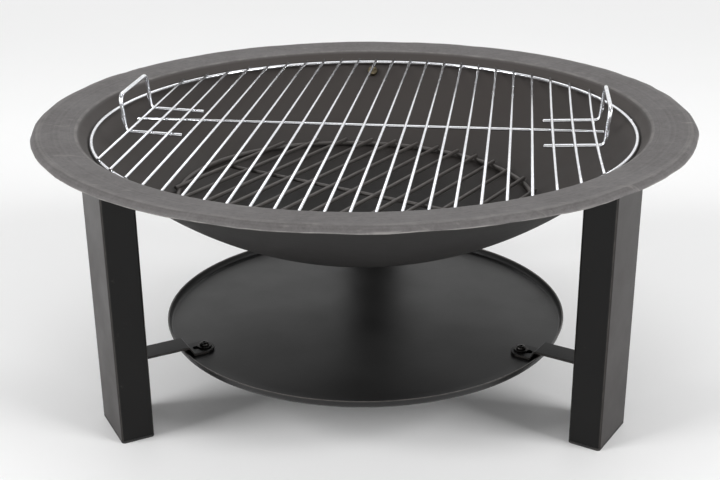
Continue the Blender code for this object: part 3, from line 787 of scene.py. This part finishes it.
shelfSettings = {
    "dish": 0.0094,
    "sheet": 0.0015,
    "edgeRound": 0.0004,
    "flatRings": (0.0, 0.05, 0.10, 0.15, 0.20, 0.23),
    "cornerRun": 0.0070,  # where the flat starts to bend up, in from the edge
    "lipIn": 0.0030,
    "lipRise": 0.0050,
    "hemIn": 0.0020,
    "hemDrop": 0.0006,
    "hem": ((0.0009, 0.0001), (0.0001, 0.0)),  # in from the edge, down from the top
    "bendSteps": 10,
    "turnSteps": 160,
    "edgeWearAndHighlight": (0.8, 0.0022, 0.0012),  # wear with painted highlight, reach in from the edge, down from the top
}


def makeShelf(settings):
    low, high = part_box("shelf")
    radius, lipTop = high[0], high[2]
    floorTop = lipTop - settings["dish"]
    line = [(r, floorTop) for r in settings["flatRings"]]
    lip = radius - settings["lipIn"]
    bend = [Vector((radius - settings["cornerRun"], 0.0)), Vector((lip, 0.0)),
            Vector((lip, settings["lipRise"])),
            Vector((radius - settings["hemIn"], settings["dish"] - settings["hemDrop"]))]
    for i in range(settings["bendSteps"] + 1):
        t = i / settings["bendSteps"]
        spot = (bend[0] * (1 - t)**3 + bend[1] * 3 * t * (1 - t)**2
                + bend[2] * 3 * t**2 * (1 - t) + bend[3] * t**3)
        line.append((spot.x, floorTop + spot.y))
    line += [(radius - inward, lipTop - drop) for inward, drop in settings["hem"]]
    shelf = spinLine("logShelf", line, settings["turnSteps"])
    faceUp(shelf)
    thicken(shelf, settings["sheet"])
    roundEdges(shelf, settings["edgeRound"], degrees=45)
    closePiece(shelf)
    # the top of the lip: rubbed paint and a painted highlight line
    wearAndHighlight, reach, drop = settings["edgeWearAndHighlight"]
    setWearAndHighlight(shelf, lambda co: wearAndHighlight if co.xy.length > radius - reach and co.z > lipTop - drop
            else 0.0)
    fit(shelf, shelfCoat, "stand", "shelf")


makeShelf(shelfSettings)
print("log shelf is made")


# legs, saddles and feet; each is modelled on the +X side and turned to its place

legSettings = {
    "depth": 0.040,
    "width": 0.080,
    "height": 0.36,  # of the tube before its top is cut off at a slant
    "wall": 0.0025,
    "corner": 0.004,
    "cornerSteps": 6,
    "cutRound": 0.0004,
    "cornerWearAndHighlight": (0.6, 0.40),  # wear with painted highlight, reach in corner radii
    "middle": 0.327,
    "base": 0.0033,
    "ballRadius": 0.45085,  # the bowl's outside is part of this ball
    "ballHeight": 0.63235,
    "boltAngle": math.asin(0.324 / 0.45085),  # the bolts stand 324 mm out
    "saddle": 0.004,
    "saddleMargin": 0.004,  # how much shorter and narrower it is than the slanted cut
    "saddleSteps": 5,
    "saddleRound": 0.0006,
    "gap": 0.0003,
    "footHeight": 0.003,
    "footRound": 0.0007,
    "plugHeight": 0.015,
    "plugGap": 0.0004,
}


def boltAxis(distance):  # local Z runs out through the bowl wall on the +X side
    lift = Matrix.Translation((0, 0, legSettings["ballHeight"]))
    slope = Matrix.Rotation(math.pi - legSettings["boltAngle"], 4, "Y")
    return lift @ slope @ Matrix.Translation((0, 0, distance))


def roundUprights(piece, radius, steps):  # the four upright edges of a box
    choose(piece, "EDGE", lambda mid, way: abs(way.z) > 0.9)
    bpy.ops.mesh.bevel(offset=radius, segments=steps, affect="EDGES")


def makeLeg(settings):
    deselectAll()
    height = settings["height"]
    bpy.ops.mesh.primitive_cube_add(
        size=1.0, location=(settings["middle"], 0, settings["base"] + height / 2),
        scale=(settings["depth"], settings["width"], height))
    leg = openPiece("legMaster")
    roundUprights(leg, settings["corner"], settings["cornerSteps"])
    choose(leg, "FACE", lambda mid, normal: abs(normal.z) > 0.9)
    bpy.ops.mesh.delete(type="ONLY_FACE")
    thicken(leg, settings["wall"])
    bpy.ops.object.mode_set(mode="EDIT")
    reach = settings["ballRadius"] + 2 * settings["gap"] + settings["saddle"]
    cut = boltAxis(reach)
    bpy.ops.mesh.select_all(action="SELECT")
    bpy.ops.mesh.bisect(plane_co=cut.translation, plane_no=cut.col[2].xyz, clear_inner=True)
    bpy.ops.mesh.bridge_edge_loops()
    faceOutward()
    roundEdges(leg, settings["cutRound"], segments=1)
    closeFlat(leg)
    farX, farY = settings["depth"] / 2, settings["width"] / 2
    wearAndHighlight, share = settings["cornerWearAndHighlight"]
    reach = settings["corner"] * share

    # the upright corners: rubbed paint and a painted highlight
    def rubbedAndHighlit(co):
        x, y = abs(co.x - settings["middle"]), abs(co.y)
        return wearAndHighlight if x > farX - reach and y > farY - reach else 0.0

    setWearAndHighlight(leg, rubbedAndHighlit)
    return leg


def makeSaddle(settings):
    deselectAll()
    slope = math.cos(settings["boltAngle"])
    length = settings["depth"] / slope - settings["saddleMargin"]
    top = settings["ballRadius"] + settings["gap"]
    shift = (top * math.sin(settings["boltAngle"]) - settings["middle"]) / slope
    bpy.ops.mesh.primitive_cube_add(
        size=1.0, location=(shift, 0, top + settings["saddle"] / 2),
        scale=(length, settings["width"] - settings["saddleMargin"], settings["saddle"]))
    saddle = openPiece("saddleMaster")
    roundUprights(saddle, settings["corner"], settings["saddleSteps"])
    placeAt(saddle, boltAxis(0.0))
    roundEdges(saddle, settings["saddleRound"])
    closeFlat(saddle)
    setWearAndHighlight(saddle, lambda co: 0.0)
    return saddle


def makeFoot(settings):
    deselectAll()
    bpy.ops.mesh.primitive_cube_add(
        size=1.0, location=(settings["middle"], 0, settings["footHeight"] / 2),
        scale=(settings["depth"], settings["width"], settings["footHeight"]))
    foot = openPiece("footMaster")
    roundUprights(foot, settings["corner"], settings["cornerSteps"])
    choose(foot, "FACE", lambda mid, normal: normal.z > 0.9)
    bpy.ops.mesh.inset(thickness=settings["wall"] + settings["plugGap"])
    extrudeBy(0, 0, settings["plugHeight"])
    roundEdges(foot, settings["footRound"])
    closeFlat(foot)
    return foot


setAtLegs((
    (makeLeg(legSettings), "leg", legCoat, "leg_paint", "leg"),
    (makeSaddle(legSettings), "saddle", legCoat, "leg_paint", "leg_saddle"),
    (makeFoot(legSettings), "foot", footPlastic, "foot_plastic", "foot"),
))
print("legs are made")


# shelf straps

strapSettings = {
    "width": 0.030,
    "thickness": 0.003,
    "edgeRound": 0.0004,
    "back": 0.3067,
    "stub": 0.004,  # length of the block that the rest is drawn out of
    "high": 0.0905,
    "low": 0.0803,
    "stepOut": 0.2485,
    "stepIn": 0.2415,
    "stepLine": ((-0.08, 0.0), (0.10, 0.06), (0.5, 0.5), (0.90, 0.94), (1.08, 1.0)),
    "end": 0.212,
    "tipSteps": 10,
    "slotIn": 0.223,
    "slotOut": 0.235,
    "slotRadius": 0.004,
    # rubbed paint and a painted highlight along the long edges
    "sideWearAndHighlight": 0.3,
}


def makeStrap(settings):
    deselectAll()
    thickness, width, stub = settings["thickness"], settings["width"], settings["stub"]
    bpy.ops.mesh.primitive_cube_add(
        size=1.0, scale=(stub, width, thickness),
        location=(settings["back"] - stub / 2, 0, settings["high"] + thickness / 2))
    strap = openPiece("strapMaster")
    choose(strap, "FACE", lambda mid, normal: normal.x < -0.9)
    drop = settings["low"] - settings["high"]
    run = settings["stepIn"] - settings["stepOut"]
    x, z = settings["back"] - stub, 0.0
    for across, down in settings["stepLine"]:  # shares of the step's run and of its drop
        nextX = settings["stepOut"] + run * across
        nextZ = drop * down
        extrudeBy(nextX - x, 0, nextZ - z)
        x, z = nextX, nextZ
    extrudeBy(settings["end"] - x, 0, drop - z)
    choose(strap, "EDGE", lambda mid, way: abs(way.z) > 0.9 and mid.x < settings["end"] + 0.001)
    bpy.ops.mesh.bevel(offset=width / 2 - 0.0002, segments=settings["tipSteps"],
                       affect="EDGES")
    faceOutward()

    deselectAll()
    bpy.ops.mesh.primitive_cylinder_add(
        vertices=32, radius=settings["slotRadius"], depth=0.02,
        location=(settings["slotIn"], 0, settings["low"]))
    slot = openPiece("slotCutter")
    choose(slot, "VERT", lambda co: co.x > settings["slotIn"] + 0.0001)
    bpy.ops.transform.translate(value=(settings["slotOut"] - settings["slotIn"], 0, 0))
    cutWith(strap, slot)
    roundEdges(strap, settings["edgeRound"])
    closeFlat(strap)
    # the long sides: rubbed paint and a painted highlight along the edges
    setWearAndHighlight(strap, lambda co: settings["sideWearAndHighlight"] if abs(co.y) > width / 2 - 0.0003 else 0.0)
    return strap


# screws, washers, nuts and bolts

screwSettings = {
    "circle": 0.224,
    "seat": 0.0854,
    "headRadius": 0.0058,
    "headHeight": 0.0033,
    "dome": 0.0028,
    "domeSteps": 7,
    "shank": 0.003,
    "length": 0.016,
    "point": 0.0006,
    "pointShare": 0.8,
    "socket": 0.0022,
    "keyLength": 0.004,
    "washerRadius": 0.009,
    "washer": 0.0015,
    "washerGap": 0.0003,
    "washerRound": 0.0003,
    "washerBase": 0.0836,
    "nutBottom": 0.0732,
    "nutFlats": 0.010,
    "nut": 0.005,
}
boltSettings = {
    "flats": 0.013,
    "head": 0.0053,
    "seat": 0.44705,
    "shank": 0.004,
    "length": 0.022,
    "nut": 0.0065,
    "nutAt": 0.45545,
}


def makeScrew(settings):
    deselectAll()
    seat, radius = settings["seat"], settings["headRadius"]
    bpy.ops.mesh.primitive_cylinder_add(
        vertices=36, radius=radius, depth=settings["headHeight"],
        location=(settings["circle"], 0, seat + settings["headHeight"] / 2))
    screw = openPiece("screwMaster")
    top = seat + settings["headHeight"]
    choose(screw, "EDGE", lambda mid, way: mid.z > top - 0.0001)
    bpy.ops.mesh.bevel(offset=settings["dome"], segments=settings["domeSteps"],
                       affect="EDGES")
    choose(screw, "FACE", lambda mid, normal: normal.z < -0.9)
    bpy.ops.mesh.inset(thickness=radius - settings["shank"])
    extrudeBy(0, 0, -settings["length"] + settings["point"])
    extrudeBy(0, 0, -settings["point"])
    bpy.ops.transform.resize(value=(settings["pointShare"], settings["pointShare"], 1.0))
    deselectAll()
    bpy.ops.mesh.primitive_cylinder_add(
        vertices=6, radius=settings["socket"], depth=settings["keyLength"],
        location=(settings["circle"], 0, top + 0.0002))
    key = openPiece("keyCutter")
    cutWith(screw, key)
    return closePiece(screw)


def makeWasher(settings):
    deselectAll()
    bpy.ops.mesh.primitive_cylinder_add(
        vertices=40, radius=settings["washerRadius"], depth=settings["washer"],
        location=(settings["circle"], 0, settings["washerBase"] + settings["washer"] / 2))
    washer = openPiece("washerMaster")
    choose(washer, "FACE", lambda mid, normal: abs(normal.z) > 0.9)
    hole = settings["shank"] + settings["washerGap"]
    bpy.ops.mesh.inset(thickness=settings["washerRadius"] - hole)
    bpy.ops.mesh.bridge_edge_loops()
    roundEdges(washer, settings["washerRound"])
    closeFlat(washer)
    return washer


hexagonSettings = {"turning": 1.02, "chamfer": 0.87}  # radii, as shares


def makeHexagon(name, flats, height, base, chamferTop, chamferBase):
    deselectAll()
    corner = flats / math.sqrt(3)
    bpy.ops.mesh.primitive_cylinder_add(vertices=6, radius=corner, depth=height,
                                        location=(0, 0, base + height / 2))
    hexagon = openPiece(name)
    deselectAll()
    bpy.ops.mesh.primitive_cylinder_add(vertices=48, depth=height,
                                        radius=corner * hexagonSettings["turning"],
                                        location=(0, 0, base + height / 2))
    turning = openPiece("chamferTurning")  # where it and the hexagon meet, corners are taken off
    chamfer = hexagonSettings["chamfer"]
    for wanted, level in ((chamferTop, base + height), (chamferBase, base)):
        if wanted:
            choose(turning, "FACE", lambda mid, normal: abs(normal.z) > 0.9
                   and abs(mid.z - level) < 0.0001)
            bpy.ops.transform.resize(value=(chamfer, chamfer, 1.0))
    cutWith(hexagon, turning, "INTERSECT")
    return hexagon


def makeBolt(settings):
    seat = settings["seat"]
    bolt = makeHexagon("boltMaster", settings["flats"], settings["head"],
                       seat - settings["head"], False, True)
    bpy.ops.object.mode_set(mode="EDIT")
    choose(bolt, "FACE", lambda mid, normal: normal.z > 0.9)
    bpy.ops.mesh.inset(thickness=settings["flats"] / 2 - settings["shank"])
    extrudeBy(0, 0, settings["length"])
    placeAt(bolt, boltAxis(0.0))
    return closePiece(bolt)


print("fixings start")
shelfNutMaster = makeHexagon("shelfNutMaster", screwSettings["nutFlats"], screwSettings["nut"],
                             screwSettings["nutBottom"], True, True)
placeAt(shelfNutMaster, Matrix.Translation((screwSettings["circle"], 0, 0)))
closePiece(shelfNutMaster)
bowlNutMaster = makeHexagon("bowlNutMaster", boltSettings["flats"], boltSettings["nut"],
                            boltSettings["nutAt"], True, False)
placeAt(bowlNutMaster, boltAxis(0.0))
closePiece(bowlNutMaster)
setAtLegs((
    (makeStrap(strapSettings), "shelfStrap", legCoat, "leg_paint", "shelf_strap"),
    (makeScrew(screwSettings), "shelfScrew", blackOxide, "black_oxide", "shelf_screw"),
    (makeWasher(screwSettings), "shelfWasher", blackOxide, "black_oxide", "shelf_washer"),
    (shelfNutMaster, "shelfNut", blackOxide, "black_oxide", "shelf_nut"),
    (makeBolt(boltSettings), "bowlBolt", yellowZinc, "yellow_zinc", "bowl_bolt"),
    (bowlNutMaster, "bowlNut", yellowZinc, "yellow_zinc", "bowl_nut"),
))
print("straps and fixings are made")


# cooking grate

grateSettings = {
    "turn": -5.0,
    "ringWire": 0.005,
    "barWire": 0.0034,
    "crossWire": 0.004,
    "bars": 23,
    "shiftAcross": 0.0022,
    "shiftAlong": -0.006,
    "sink": 0.0004,
    "ringSteps": 144,
    "buttWeld": 3.0,  # azimuth of the ring's joint in degrees
    "seamNugget": (0.0031, 0.9, 0.0004),  # radius, flatness, rise of the weld on that joint
    "nugget": (0.0019, 0.0028, 0.0016),  # radius, place in from a bar's end, drop
    "bows": {21: 0.0012, 22: 0.0020, 23: 0.0026},  # bars knocked a little out of straight
    "bowCuts": 15,
}
wireSides = 14
wireDeburr = 0.14  # rounding of a wire's cut end, as a share of its diameter


def makeWire(name, start, end, diameter, cuts=0):  # a round wire cut off and deburred
    deselectAll()
    start, end = Vector(start), Vector(end)
    along = end - start
    bpy.ops.mesh.primitive_cylinder_add(
        vertices=wireSides, radius=diameter / 2, depth=along.length,
        location=(start + end) / 2, rotation=along.to_track_quat("Z", "Y").to_euler())
    wire = openPiece(name)
    way = along.normalized()
    choose(wire, "FACE", lambda mid, normal: abs(normal.dot(way)) > 0.9)
    bpy.ops.mesh.bevel(offset=diameter * wireDeburr, segments=2, affect="EDGES")
    if cuts:
        choose(wire, "EDGE", lambda mid, line: abs(line.dot(way)) > 0.9
               and abs((mid - (start + end) / 2).dot(way)) < 0.001)
        bpy.ops.mesh.subdivide(number_cuts=cuts)
    return wire


def makeRing(name, radius, height, diameter, steps):
    deselectAll()
    bpy.ops.mesh.primitive_torus_add(
        major_radius=radius, minor_radius=diameter / 2, major_segments=steps,
        minor_segments=wireSides, location=(0, 0, height))
    return openPiece(name)


def makeBlob(place, size, flatness=0.75):  # a small weld nugget
    deselectAll()
    bpy.ops.mesh.primitive_ico_sphere_add(subdivisions=2, radius=size, location=place,
                                          scale=(1.0, 1.0, flatness))
    return closePiece(openPiece("weldNugget"))


def makeCookingGrate(settings):
    low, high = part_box("grate_ring")
    radius = (high[0] - low[0] - settings["ringWire"]) / 2
    height = (low[2] + high[2]) / 2
    ring = makeRing("grateRing", radius, height, settings["ringWire"], settings["ringSteps"])
    closePiece(ring)
    turn = azimuthTurn(settings["turn"])
    lean = abs(math.radians(settings["turn"]))
    size, inward, drop = settings["nugget"]
    nuggets = []
    for i in range(1, settings["bars"] + 1):
        low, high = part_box(f"grate_bar_{i:02d}")
        middle = (Vector(low) + Vector(high)) / 2
        length = (high[1] - low[1] - settings["barWire"] * math.sin(lean)) / math.cos(lean)
        way = turn @ Vector((0, 1, 0))
        middle.z -= settings["sink"]
        start, end = middle - way * length / 2, middle + way * length / 2
        bow = settings["bows"].get(i, 0.0)
        bar = makeWire(f"grateBar{i:02d}", start, end, settings["barWire"],
                       settings["bowCuts"] if bow else 0)
        if bow:
            work = bmesh.from_edit_mesh(bar.data)
            for vert in work.verts:
                share = 2 * (vert.co - middle).dot(way) / length
                vert.co -= way.cross(Vector((0, 0, 1))) * bow * (1 - share**2)
            bmesh.update_edit_mesh(bar.data)
        closePiece(bar)
        fit(bar, chromePlate, "cooking_grate", f"grate_bar_{i:02d}")
        for tip in (start + way * inward, end - way * inward):
            nuggets.append(makeBlob(tip - Vector((0, 0, drop)), size))
    seam = math.radians(settings["buttWeld"])
    size, flatness, rise = settings["seamNugget"]
    spot = (radius * math.cos(seam), radius * math.sin(seam), height + rise)
    nuggets.append(makeBlob(spot, size, flatness))
    ring = joinAll([ring] + nuggets)
    closePiece(ring)
    fit(ring, chromePlate, "cooking_grate", "grate_ring")

    low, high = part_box("grate_cross_wire")
    middle = (Vector(low) + Vector(high)) / 2
    middle.z += settings["sink"] / 2
    length = (high[0] - low[0] - settings["crossWire"] * math.sin(lean)) / math.cos(lean)
    way = turn @ Vector((1, 0, 0))
    cross = makeWire("grateCrossWire", middle - way * length / 2, middle + way * length / 2,
                     settings["crossWire"])
    closePiece(cross)
    fit(cross, chromePlate, "cooking_grate", "grate_cross_wire")


handleSettings = {
    "wire": 0.005,
    "span": 0.106,
    "height": 0.0445,
    "foot": 0.070,
    "bend": 0.010,
    "tightBend": 0.006,
    "lean": 0.004,
    "droop": 0.003,
    "post": 0.2867,
    "sides": 16,
    "footSteps": 6,  # short lengths, so that the foot can droop
    "bendSteps": 6,
    "endRound": 0.0006,
}


def makeHandle(settings):  # foot, post, grip, post and foot, bent from one wire
    low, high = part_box("grate_handle_right")
    grip = high[2] - settings["wire"] / 2
    level = grip - settings["height"]
    half, post, tight = settings["span"] / 2, settings["post"], settings["tightBend"]
    wide, footSteps = settings["bend"], settings["footSteps"]
    footStep = (settings["foot"] - tight) / footSteps
    rise = settings["height"] - tight - wide
    deselectAll()
    bpy.ops.mesh.primitive_circle_add(
        vertices=settings["sides"], radius=settings["wire"] / 2, fill_type="NGON",
        location=(post - settings["foot"], -half, level), rotation=(0, math.pi / 2, 0))
    handle = openPiece("handleMaster")
    bpy.ops.mesh.select_all(action="SELECT")

    def turnWire(centre, axis):
        bpy.ops.mesh.spin(steps=settings["bendSteps"], angle=math.pi / 2, center=centre,
                          axis=axis)

    for step in range(footSteps):
        extrudeBy(footStep, 0, 0)
    turnWire((post - tight, -half, level + tight), (0, 1, 0))
    for step in range(2):
        extrudeBy(0, 0, rise / 2)
    turnWire((post, -half + wide, grip - wide), (1, 0, 0))
    extrudeBy(0, settings["span"] - 2 * wide, 0)
    turnWire((post, half - wide, grip - wide), (1, 0, 0))
    for step in range(2):
        extrudeBy(0, 0, -rise / 2)
    turnWire((post - tight, half, level + tight), (0, -1, 0))
    for step in range(footSteps):
        extrudeBy(-footStep, 0, 0)
    bpy.ops.mesh.select_all(action="SELECT")
    bpy.ops.mesh.remove_doubles(threshold=doublesWithin)
    faceOutward()
    work = bmesh.from_edit_mesh(handle.data)
    for vert in work.verts:
        droop = settings["droop"] * min((vert.co.x - post) / settings["foot"], 0.0)
        vert.co.x += settings["lean"] * (vert.co.z - level) / settings["height"]
        vert.co.z += droop
    bmesh.update_edit_mesh(handle.data)
    roundEdges(handle, settings["endRound"], degrees=60)
    return closePiece(handle)


makeCookingGrate(grateSettings)
handleMaster = makeHandle(handleSettings)
shift = Matrix.Translation((grateSettings["shiftAcross"], grateSettings["shiftAlong"], 0))
grateSeat = azimuthTurn(grateSettings["turn"]) @ shift
for side, degrees in (("right", 0), ("left", 180)):
    handle = copyTo(handleMaster, f"grateHandle_{side}", grateSeat @ azimuthTurn(degrees))
    fit(handle, chromePlate, "cooking_grate", f"grate_handle_{side}")
removePiece(handleMaster)
print("cooking grate is made")


# charcoal grate

charcoalSettings = {
    "radius": 0.2216,
    "ringWire": 0.006,
    "barWire": 0.005,
    "bars": 13,
    "endMargin": 0.0314,
    "overhang": 0.0012,
    "crossOverhang": 0.004,
    "sink": 0.0006,
    "nugget": (0.0028, 0.003, 0.0022),  # radius, place in from the ring's outside, drop
    "turn": -28.0,
    "tilt": math.radians(1.8),
    "tiltAzimuth": math.radians(124.0),
    "seatGap": 0.0006,
    "ball": 0.44785,  # the bowl's inside, which the ring rests on
    "ballHeight": 0.63235,
    "ringSteps": 108,
}


def makeCharcoalGrate(settings):
    radius = settings["radius"]
    parts = [makeRing("charcoalGrate", radius, 0.0, settings["ringWire"],
                      settings["ringSteps"])]
    closePiece(parts[0])
    count = settings["bars"]
    pitch = 2 * (radius - settings["endMargin"]) / (count - 1)
    level = (settings["ringWire"] + settings["barWire"]) / 2 - settings["sink"]
    reach = radius + settings["ringWire"] / 2 + settings["overhang"]
    size, inward, drop = settings["nugget"]
    for i in range(count):
        offset = (i - (count - 1) / 2) * pitch
        half = math.sqrt(reach**2 - offset**2)
        bar = makeWire("charcoalBar", (offset, -half, level), (offset, half, level),
                       settings["barWire"])
        parts.append(closePiece(bar))
        for sign in (-1, 1):
            spot = (offset, sign * (half - settings["overhang"] - inward), level - drop)
            parts.append(makeBlob(spot, size))
    half = (count - 1) / 2 * pitch + settings["crossOverhang"]
    crossLevel = level - settings["barWire"] + settings["sink"]
    cross = makeWire("charcoalCross", (-half, 0, crossLevel), (half, 0, crossLevel),
                     settings["barWire"])
    parts.append(closePiece(cross))
    grate = joinAll(parts)
    seat = settings["ball"] - settings["ringWire"] / 2 - settings["seatGap"]
    lift = Matrix.Translation((0, 0, settings["ballHeight"] - math.sqrt(seat**2 - radius**2)))
    pivot = Matrix.Translation((0, 0, settings["ballHeight"]))
    axis = (math.cos(settings["tiltAzimuth"]), math.sin(settings["tiltAzimuth"]), 0.0)
    tilt = pivot @ Matrix.Rotation(settings["tilt"], 4, axis) @ pivot.inverted()
    placeAt(grate, tilt @ lift @ azimuthTurn(settings["turn"]))
    closePiece(grate)
    fit(grate, wirePaint, "charcoal_basket", "charcoal_grate")


makeCharcoalGrate(charcoalSettings)
print("charcoal grate is made")

deselectAll()
